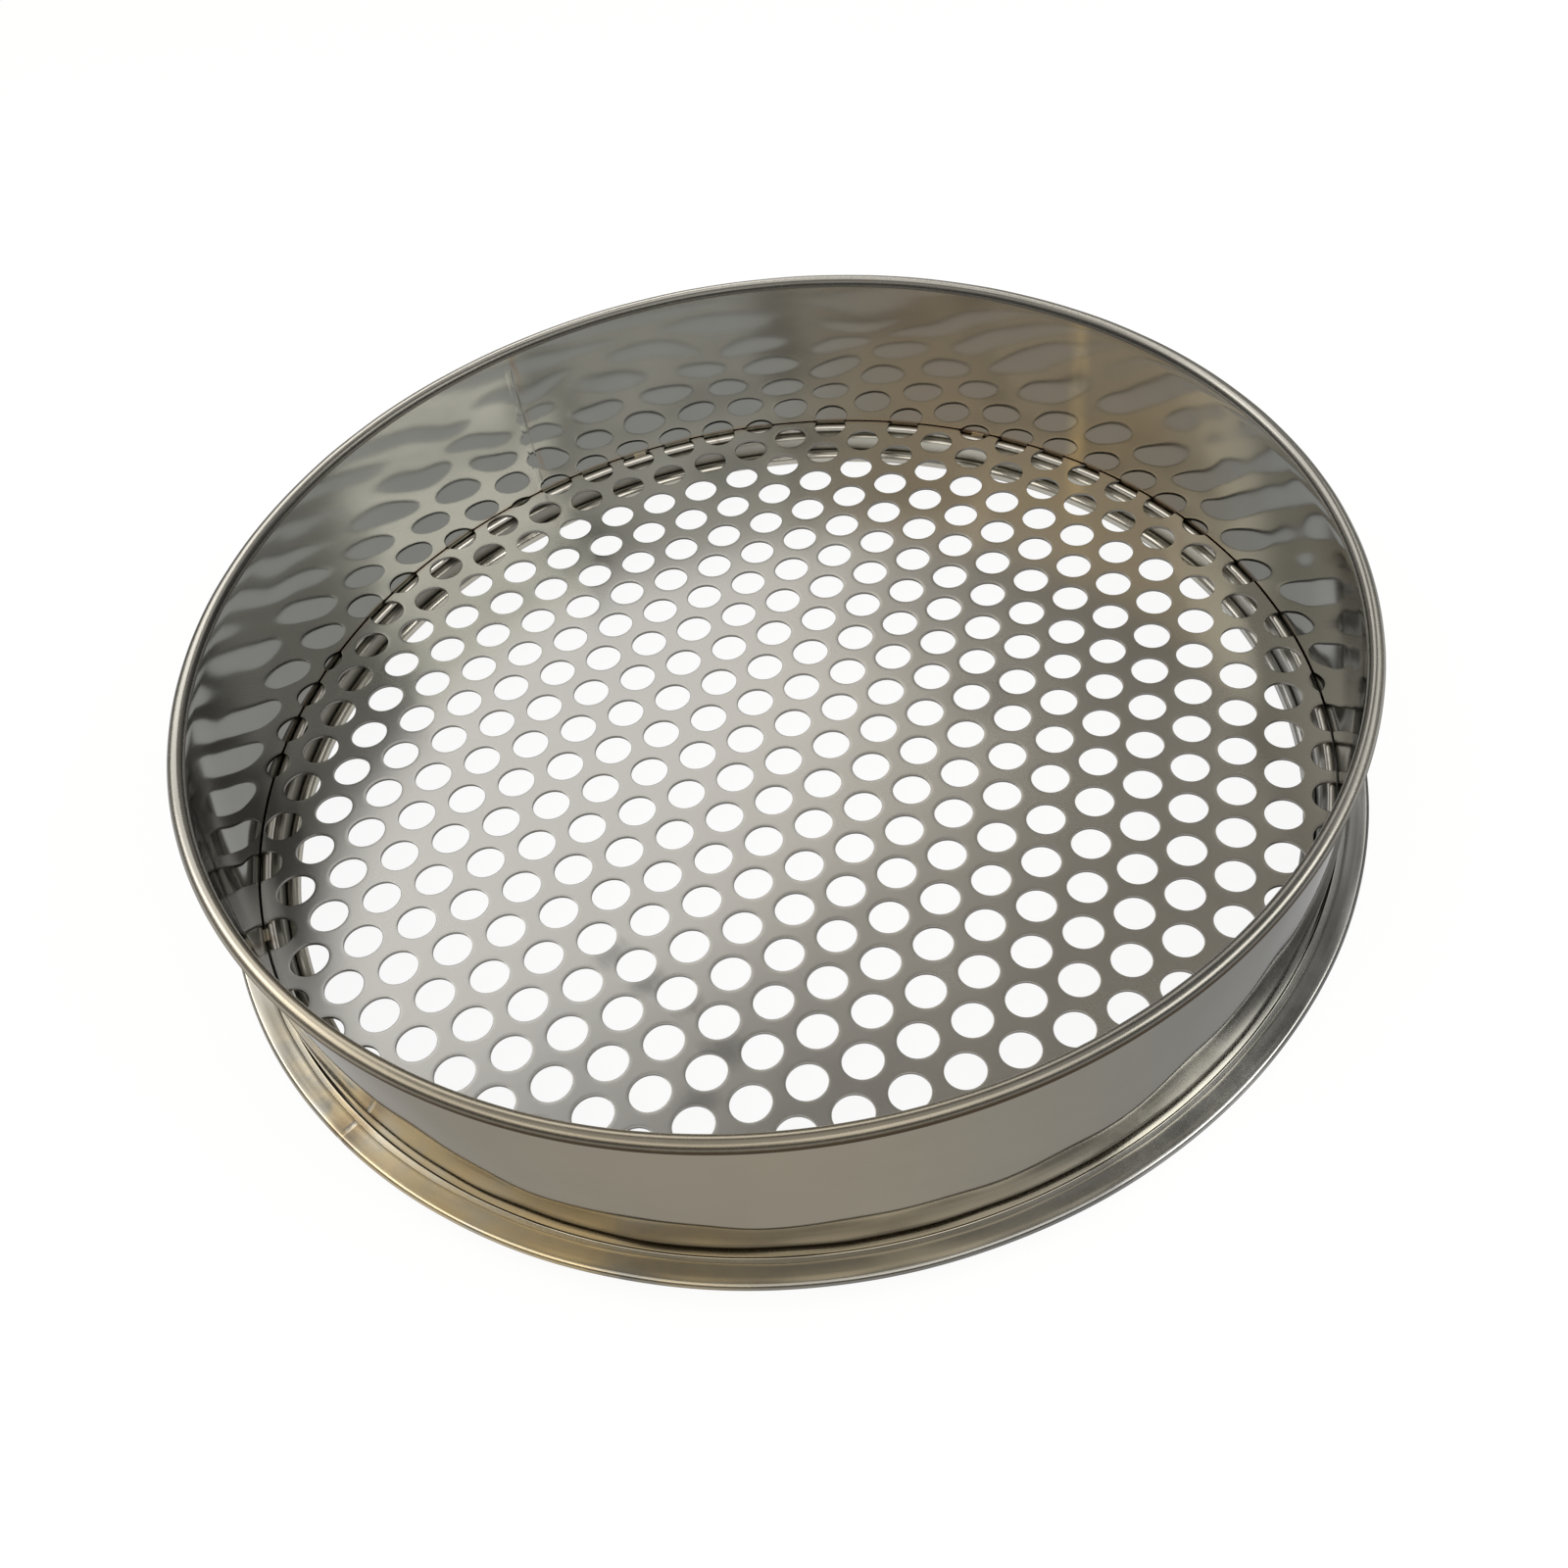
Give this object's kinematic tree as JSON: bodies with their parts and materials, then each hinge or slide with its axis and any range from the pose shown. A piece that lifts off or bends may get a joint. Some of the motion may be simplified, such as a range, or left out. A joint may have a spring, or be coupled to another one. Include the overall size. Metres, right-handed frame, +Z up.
{
  "type": "sand sieve",
  "caption": "Round steel sieve: a sheet drum with a curled rim, a punched plate with round holes, and a stepped ring below that nests in a like sieve.",
  "frame": {"origin": "middle of the circle that the sieve rests on", "axes": "+Z up along the drum's axis, +X along the rows of holes"},
  "size_m": [0.3168, 0.3168, 0.0671],
  "materials": {
    "drum_steel": "polished",
    "plate_steel": "mill, slightly wavy",
    "ring_steel": "satin",
    "hoop_steel": "drawn wire",
    "weld_metal": "ground weld with heat tint"
  },
  "bodies": {
    "root": {"drum": "drum_steel", "drum_seam_weld": "weld_metal", "perforated_plate": "plate_steel", "plate_support_hoop": "hoop_steel", "plate_tack_welds": "weld_metal", "lower_ring": "ring_steel", "ring_seam_weld": "weld_metal"}
  },
  "joints": []
}
